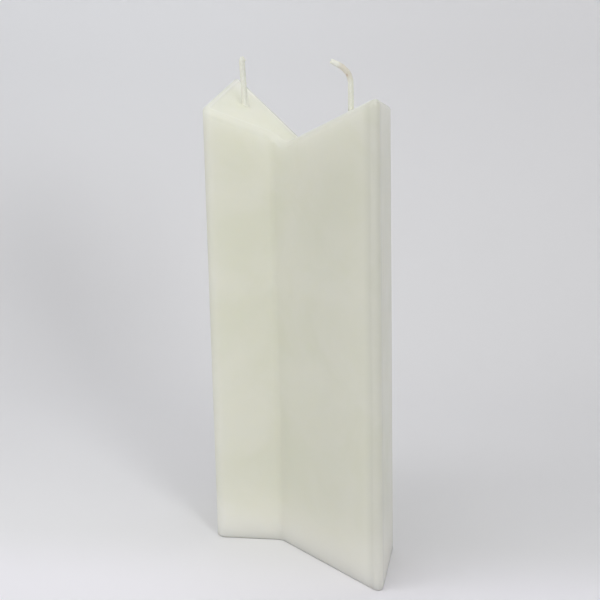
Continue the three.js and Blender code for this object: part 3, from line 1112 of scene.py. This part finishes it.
@dataclass
class Wick:
    """Braided wick: eight strands that cross over and under each other round a waxed core."""

    # Route: where it stands, the wax's level there, how far it runs on straight, and its bends.
    name: str
    node: str
    place: tuple[float, float]
    wax_level: float
    standing: float
    heading: float
    bends: tuple[Bend, ...]
    tip: Tip
    foot: float = 0.0005

    # Braid: half its thickness, half a strand's width and thickness, and the length of one plait.
    radius: float = 0.00132
    strand_width: float = 0.00060
    strand_thickness: float = 0.00022
    weave_depth: float = 0.00005
    plait: float = 0.0085
    strands_each_way: int = 4
    strand_sides: int = 10
    pattern_offset: float = 10.0
    core_radius: float = 0.00112
    core_recess: float = 0.0005
    core_sides: int = 20

    # Collar of wax round the foot.
    collar_rise: float = 0.0026
    collar_unevenness: float = 1 / 6
    collar_depth: float = 0.0014
    collar_reach: float = 0.00045
    collar_pattern_rate: float = 0.3
    collar_rows: int = 16
    collar_sides: int = 32

    # Stations: fine where the braid shows, coarse where the wax hides it.
    fine_step: float = 0.00028
    coarse_step: float = 0.006
    buried_braid: float = 0.005
    foot_braid: float = 0.003

    # Tip: strands that open out and end unevenly, or a taper that is sealed with wax.
    flare: float = 0.0006
    flare_length: float = 0.0016
    least_flare: float = 0.35
    shortest_strand: float = 0.0007
    tip_taper: float = 0.35
    tip_length: float = 0.0042
    sealed_length: float = 0.0030
    seed: int = 3

    # Singe from before the end of the first bend, and a spot there, inwards and in front of the middle.
    singe_share: float = 0.4
    singe_lead: float = 0.0018
    spot_radius: float = 0.00095
    spot_inwards: float = 0.5
    spot_forwards: float = 0.86

    def length(self) -> float:
        """Length of the centre line, foot to tip."""
        bent = sum(bend.radius * abs(bend.turn) + bend.run for bend in self.bends)
        return self.wax_level - self.foot + self.standing + bent

    def near_tip(self, distance: np.ndarray) -> np.ndarray:
        """Square of the share of the way from the start of the tip to its end."""
        reach = self.flare_length if self.tip is Tip.FRAYED else self.tip_length
        return (1 - np.clip((self.length() - distance) / reach, 0.0, 1.0)) ** 2

    def stations(self) -> np.ndarray:
        """Places of the rings, fine at the foot and above the wax, and coarse between.

        Returns:
            Distances along the centre line from the foot.
        """
        buried = self.wax_level - self.foot - self.buried_braid
        coarse_rows = round((buried - self.foot_braid) / self.coarse_step) + 1
        shown_rows = round((self.length() - buried) / self.fine_step) + 1
        foot = np.arange(0.0, self.foot_braid, self.fine_step)
        middle = np.linspace(self.foot_braid, buried, coarse_rows)[:-1]
        return np.concatenate([foot, middle, np.linspace(buried, self.length(), shown_rows)])

    def above_wax(self, distance: np.ndarray) -> np.ndarray:
        """Distance along the wick from the wax's level."""
        return distance - self.wax_level + self.foot

    def route(self, distance: np.ndarray) -> tuple[np.ndarray, np.ndarray, np.ndarray]:
        """Centre line and its frame.

        The line is upright as far as the end of its straight part. Then it leans over in one upright
        plane, along an arc for each bend: the height grows by radius times the difference of the
        sines of the lean, and the reach by radius times the difference of the cosines. Along the
        straight run after a bend they grow by the cosine and the sine of the lean.

        Args:
            distance: Distances along the line from the foot.

        Returns:
            Points, the normal in the plane of the bends, and the normal across it.
        """
        straight = self.wax_level - self.foot + self.standing
        rise = np.minimum(distance, straight)
        reach = np.zeros_like(distance)
        lean = 0.0
        leaning = np.zeros_like(distance)
        start = straight
        for bend in self.bends:
            side = math.copysign(1.0, bend.turn)
            turned = side * np.clip((distance - start) / bend.radius, 0.0, abs(bend.turn))
            start += bend.radius * abs(bend.turn)
            onward = np.clip(distance - start, 0.0, bend.run)
            start += bend.run
            rise = rise + side * bend.radius * (np.sin(lean + turned) - math.sin(lean))
            reach = reach + side * bend.radius * (math.cos(lean) - np.cos(lean + turned))
            lean += bend.turn
            rise = rise + onward * math.cos(lean)
            reach = reach + onward * math.sin(lean)
            leaning = leaning + turned
        ahead = np.array([math.cos(self.heading), math.sin(self.heading), 0.0])
        origin = np.array([self.place[0], self.place[1], self.foot])
        points = origin + reach[:, None] * ahead + rise[:, None] * UP
        inside = np.cos(leaning)[:, None] * ahead - np.sin(leaning)[:, None] * UP
        across = np.repeat(np.cross(UP, ahead)[None], len(distance), axis=0)
        return points, inside, across

    def strand(self, distance: np.ndarray, index: int, way: int,
               draws: np.random.Generator) -> tuple[np.ndarray, np.ndarray]:
        """Surface of one strand.

        Its centre goes round the wick at an even rate, at a distance that swings by the weave's depth
        n times a turn, for n strands each way. Strands that go the other way swing the other way, so
        each crosses over one and under the next. Its section is an ellipse, flat towards the wick's
        middle, that closes in a round end. Its pattern starts at its own number, plus an offset for the
        anticlockwise strands, so that no two strands have the same fibres.

        Args:
            distance: Distances along the wick.
            index: Number of the strand among those that go the same way.
            way: 1 for anticlockwise, -1 for clockwise.
            draws: Source of the small differences between strands.

        Returns:
            Points by station and side, and their pattern coordinates.
        """
        points, inside, across = self.route(distance)
        shorter = draws.uniform(0.0, self.shortest_strand)
        opened = self.near_tip(distance) * draws.uniform(self.least_flare, 1.0)
        winding = FULL_TURN * distance / self.plait
        angle = FULL_TURN * index / self.strands_each_way + way * winding
        middle = self.radius - self.strand_thickness - self.weave_depth
        swing = way * self.weave_depth * np.cos(self.strands_each_way * winding)
        if self.tip is Tip.FRAYED:
            out = middle + swing * (1 - opened) + self.flare * opened
        else:
            out = (middle + swing) * (1 - self.tip_taper * self.near_tip(distance))
        outward = np.cos(angle)[:, None] * inside + np.sin(angle)[:, None] * across
        centre = points + out[:, None] * outward
        ahead = unit(np.gradient(centre, distance, axis=0))
        sideways = unit(np.cross(ahead, outward))
        upward = np.cross(sideways, ahead)
        to_tip = np.clip((self.length() - shorter - distance) / (2 * self.strand_thickness), 0.0, 1.0)
        to_foot = np.clip(distance / self.strand_thickness, 0.0, 1.0)
        taper = np.sqrt(1 - (1 - to_tip) ** 2) * np.sqrt(1 - (1 - to_foot) ** 2)
        around = np.linspace(0.0, FULL_TURN, self.strand_sides, endpoint=False)
        section = (self.strand_width * np.cos(around)[:, None] * sideways[:, None]
                   + self.strand_thickness * np.sin(around)[:, None] * upward[:, None])
        surface = centre[:, None] + taper[:, None, None] * section
        pattern = np.stack(np.broadcast_arrays(
            (around / FULL_TURN)[None] + index + self.pattern_offset * (way > 0),
            self.above_wax(distance)[:, None]), axis=-1)
        return surface, pattern

    def core(self, distance: np.ndarray) -> tuple[np.ndarray, np.ndarray]:
        """Round waxed core that fills the wick inside its strands, with a domed end.

        Args:
            distance: Distances along the wick.

        Returns:
            Points by station and side, and their pattern coordinates.
        """
        points, inside, across = self.route(distance)
        end = self.length() - self.core_recess
        to_tip = np.clip((end - distance) / self.core_radius, 0.0, 1.0)
        to_foot = np.clip(distance / self.core_radius, 0.0, 1.0)
        radius = self.core_radius * np.sqrt(1 - (1 - to_tip) ** 2) * np.sqrt(1 - (1 - to_foot) ** 2)
        if self.tip is Tip.SEALED:
            radius = radius * (1 - self.tip_taper * self.near_tip(distance))
        around = np.linspace(0.0, FULL_TURN, self.core_sides, endpoint=False)[:, None]
        ring = np.cos(around) * inside[:, None] + np.sin(around) * across[:, None]
        surface = points[:, None] + radius[:, None, None] * ring
        pattern = np.stack(np.broadcast_arrays(
            around[:, 0][None] / FULL_TURN, self.above_wax(distance)[:, None]), axis=-1)
        return surface, pattern

    def collar(self) -> tuple[np.ndarray, np.ndarray]:
        """Wax that has crept up the foot of the wick.

        With t running from 0 below the wax to 1 at the collar's top, its radius is the core's plus
        (the strands' height over the core + reach (1 - t)^3) times the square root of 1 - t^8. The top
        runs higher and lower twice round the wick, by the unevenness. The pattern climbs more slowly
        than the collar, so the finish takes all of it for wax.

        Returns:
            Points by row and side, and their pattern coordinates.
        """
        share, around = np.meshgrid(
            np.linspace(0.0, 1.0, self.collar_rows + 1),
            np.linspace(0.0, FULL_TURN, self.collar_sides, endpoint=False), indexing="ij")
        rise = self.collar_rise * (1 + self.collar_unevenness * np.sin(2 * around + self.seed))
        above = -self.collar_depth + share * (self.collar_depth + rise)
        points, inside, across = self.route((above + self.wax_level - self.foot).ravel())
        spread = self.radius - self.core_radius + self.collar_reach * (1 - share) ** 3
        radius = (self.core_radius + spread * np.sqrt(1 - share ** 8)).ravel()[:, None]
        angle = around.ravel()[:, None]
        surface = points + radius * (np.cos(angle) * inside + np.sin(angle) * across)
        pattern = np.stack([around / FULL_TURN, self.collar_pattern_rate * above], axis=-1)
        return surface.reshape(*share.shape, 3), pattern

    def build(self) -> bpy.types.Object:
        """Builds the core, the collar and the strands as closed tubes in one mesh.

        Returns:
            The wick.
        """
        draws = np.random.default_rng(self.seed)
        distance = self.stations()
        parts = [self.core(distance), self.collar()]
        for way in (1, -1):
            parts += [self.strand(distance, index, way, draws) for index in range(self.strands_each_way)]
        points, patterns, faces = [], [], []
        used = 0
        for surface, pattern in parts:
            rows, sides = surface.shape[:2]
            poles = surface[[0, -1]].mean(axis=1)
            points += [surface.reshape(-1, 3), poles]
            patterns += [pattern.reshape(-1, 2), pattern[[0, -1]].mean(axis=1)]
            ring = np.arange(sides)
            foot_pole = used + rows * sides
            faces += [wrapped_quads(rows, sides, used), fan(used + ring, foot_pole, flip=True),
                      fan(foot_pole - sides + ring, foot_pole + 1)]
            used = foot_pole + 2
        return make_piece(self.name, np.concatenate(points), faces, np.concatenate(patterns))

    def singed_finish(self) -> CottonFinish:
        """Cotton with a dark spot at the end of the first bend, and a stain from there to a sealed tip.

        The spot is on the wick's surface, where it faces the front and a little into the bend.

        Returns:
            The finish.
        """
        bend = self.bends[0]
        kink = self.standing + bend.radius * bend.turn
        point, inside, _ = self.route(np.array([self.wax_level - self.foot + kink]))
        outward = self.spot_inwards * inside[0] + self.spot_forwards * FRONT
        spot = point[0] + self.radius * outward
        sealed = self.above_wax(self.length()) - self.sealed_length
        return CottonFinish(sealed_from=sealed, stain_share=self.singe_share,
                            stain_from=kink - self.singe_lead, stain_to=sealed,
                            spot=tuple(spot.tolist()), spot_radius=self.spot_radius)

    def dress(self, piece: bpy.types.Object, finish: CottonFinish) -> None:
        """Gives the wick its cotton and its place in the frame.

        Args:
            piece: The wick.
            finish: Finish of its cotton.
        """
        piece.data.materials.append(finish.material(f"{self.name}_cotton"))
        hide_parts(self.node)
        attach(piece, BODY)


# ----------------------------------------------------------------------------------------- studio


@dataclass(frozen=True)
class Lamp:
    """Soft box that looks at the candle from a heading and a height."""

    name: str
    heading: float
    elevation: float
    distance: float
    width: float
    height: float
    power: float

    def build(self, target: np.ndarray) -> bpy.types.Object:
        """Builds the lamp.

        Args:
            target: Point that the lamp looks at.

        Returns:
            The lamp, which lights the scene but isn't itself seen.
        """
        away = np.array([
            math.cos(self.heading) * math.cos(self.elevation),
            math.sin(self.heading) * math.cos(self.elevation),
            math.sin(self.elevation),
        ])
        side = unit(np.cross(UP, away))
        light = bpy.data.lights.new(self.name, "AREA")
        light.shape = "RECTANGLE"
        light.size = self.width
        light.size_y = self.height
        light.energy = self.power
        lamp = new_object(self.name, light)
        lamp.visible_camera = False
        set_up(lamp, [side, np.cross(away, side), away], target + self.distance * away)
        return lamp


@dataclass
class Studio:
    """Paper sweep, lamps, surroundings and camera."""

    # Paper: where it starts in front and rises behind, the round between, and its grid.
    sweep_front: float = -1.25
    sweep_back: float = 0.36
    sweep_radius: float = 0.17
    sweep_height: float = 1.6
    sweep_half_width: float = 2.2
    sweep_floor_rows: int = 29
    sweep_arc_steps: int = 40
    sweep_back_rows: int = 11
    sweep_columns: int = 24

    # Light: what is seen past the paper, what the lamps look at, and each lamp's heading, elevation,
    # distance, width, height and power.
    surroundings: Colour = (0.66, 0.665, 0.675, 1.0)
    target: Triple = (0.0, 0.0, 0.10)
    lamps: tuple[Lamp, ...] = (
        Lamp("right_soft_box", math.radians(-55.5), math.radians(21.0), 1.30, 0.30, 0.30, 4.70),
        Lamp("far_right_soft_box", math.radians(-25.0), math.radians(20.0), 1.30, 0.50, 0.50, 0.54),
        Lamp("left_soft_box", math.radians(-115.0), math.radians(22.0), 1.30, 0.50, 0.50, 0.62),
        Lamp("high_front_soft_box", math.radians(-90.0), math.radians(50.0), 1.50, 1.40, 0.80, 1.68),
        Lamp("near_left_soft_box", math.radians(-150.0), math.radians(30.0), 0.65, 0.40, 0.40, 1.13),
        Lamp("overhead_soft_box", math.radians(-90.0), math.radians(80.0), 0.80, 0.70, 0.70, 3.28),
        Lamp("side_soft_box", math.radians(175.0), math.radians(25.0), 1.50, 1.20, 1.20, 1.36),
    )

    # Camera, from a fit to the photograph's view.
    camera_place: Triple = (0.10375, -0.64285, 0.28663)
    camera_forward: Triple = (-0.15284, 0.95330, -0.26054)
    camera_roll: float = math.radians(-1.171)
    camera_sees: tuple[float, float] = (0.01, 20.0)
    lens: float = 95.09

    def sweep(self, finish: PaperFinish) -> bpy.types.Object:
        """Builds the paper: a profile of level floor, quarter round and upright back, carried sideways.

        Args:
            finish: Finish of the paper.

        Returns:
            The sweep.
        """
        start = self.sweep_back - self.sweep_radius
        forth = np.linspace(self.sweep_front, start, self.sweep_floor_rows + 1)[:-1]
        up = np.linspace(self.sweep_radius, self.sweep_height, self.sweep_back_rows + 1)[1:]
        angle = np.linspace(0.0, math.pi / 2, self.sweep_arc_steps + 1)
        floor = np.stack([forth, np.zeros_like(forth)], axis=-1)
        bend = np.stack([start + self.sweep_radius * np.sin(angle),
                         self.sweep_radius * (1 - np.cos(angle))], axis=-1)
        back = np.stack([np.full_like(up, self.sweep_back), up], axis=-1)
        profile = np.concatenate([floor, bend, back])
        across = np.linspace(-self.sweep_half_width, self.sweep_half_width, self.sweep_columns)
        x, index = np.meshgrid(across, np.arange(len(profile)))
        points = np.concatenate([x[..., None], profile[index]], axis=-1)
        number = np.arange(x.size).reshape(x.shape)
        corners = [number[:-1, :-1], number[:-1, 1:], number[1:, 1:], number[1:, :-1]]
        quads = np.stack(corners, axis=-1).reshape(-1, 4)
        paper = make_piece("paper_sweep", points.reshape(-1, 3), [quads])
        paper.data.materials.append(finish.material("studio_paper"))
        return paper

    def light(self) -> None:
        """Puts up the lamps, and surroundings that are seen past the paper but give no light."""
        for lamp in self.lamps:
            lamp.build(np.array(self.target))
        world = bpy.data.worlds.new("surroundings")
        world.use_nodes = True
        graph = Graph(world.node_tree)
        unlit = world.node_tree.nodes["Background"]
        unlit.inputs["Strength"].default_value = 0.0
        seen = graph.add("ShaderNodeBackground", Color=self.surroundings, Strength=1.0)
        straight = graph.add("ShaderNodeLightPath").outputs["Is Camera Ray"]
        both = graph.add("ShaderNodeMixShader", Fac=straight)
        graph.feed(both.inputs[1], unlit.outputs["Background"])
        graph.feed(both.inputs[2], seen.outputs["Background"])
        graph.feed(world.node_tree.nodes["World Output"].inputs["Surface"], both.outputs["Shader"])
        bpy.context.scene.world = world

    def camera(self) -> bpy.types.Object:
        """Builds the camera.

        Its sideways axis is level and square to its view, then rolled about the view with the axis
        above it.

        Returns:
            The scene's camera.
        """
        forward = unit(np.array(self.camera_forward))
        level = unit(np.cross(forward, UP))
        above = np.cross(level, forward)
        side = math.cos(self.camera_roll) * level + math.sin(self.camera_roll) * above
        data = bpy.data.cameras.new("studio_camera")
        data.lens = self.lens
        data.clip_start, data.clip_end = self.camera_sees
        made = new_object("studio_camera", data)
        set_up(made, [side, np.cross(side, forward), -forward], np.array(self.camera_place))
        bpy.context.scene.camera = made
        return made


# ------------------------------------------------------------------------------------------- main


@dataclass
class Candle:
    """The whole candle: the wax body and the wick in each lobe."""

    wax: WaxBody = field(default_factory=WaxBody)

    def wicks(self) -> list[tuple[Wick, CottonFinish]]:
        """Both wicks with their finishes.

        Each stands at the wax's level at its own place. The left one leans a little and hooks over at
        its tip, and the right one droops, kinks and curls.

        Returns:
            Each wick and its finish, left and right.
        """
        left, right = self.wax.wick_places
        levels = self.wax.top_height(np.array([left, right]))
        lean = Bend(0.005, math.radians(-2.55), 0.0179)
        hook = Bend(0.0013, math.radians(36.0), 0.0012)
        droop = Bend(0.0095, math.radians(24.0), 0.0)
        kink = Bend(0.0045, math.radians(20.0), 0.0012)
        curl = Bend(0.0090, math.radians(18.0), 0.0035)
        upright = Wick(name="left_braided_wick", node="left_wick", place=left, wax_level=float(levels[0]),
                       standing=0.0003, heading=math.radians(9.0), bends=(lean, hook),
                       tip=Tip.FRAYED, seed=3)
        bowed = Wick(name="right_braided_wick", node="right_wick", place=right, wax_level=float(levels[1]),
                     standing=0.0121, heading=math.radians(190.0), bends=(droop, kink, curl),
                     tip=Tip.SEALED, radius=0.00119, core_radius=0.00099, seed=8)
        return [(upright, CottonFinish()), (bowed, bowed.singed_finish())]

    def build(self) -> None:
        """Builds and dresses every piece, and reports each."""
        clouding = clouding_group()
        body = self.wax.build()
        self.wax.dress(body, WaxFinish(clouding))
        report(body)
        for wick, finish in self.wicks():
            piece = wick.build()
            wick.dress(piece, finish)
            report(piece)


def main() -> None:
    """Builds the studio and the candle, and logs the size of the sweep and of each piece of the candle."""
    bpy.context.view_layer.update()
    studio = Studio()
    studio.camera()
    studio.light()
    report(studio.sweep(PaperFinish()))
    Candle().build()
    scene = bpy.context.scene
    scene.view_settings.view_transform = "Standard"
    bpy.context.view_layer.update()


if __name__ == "__main__":
    main()
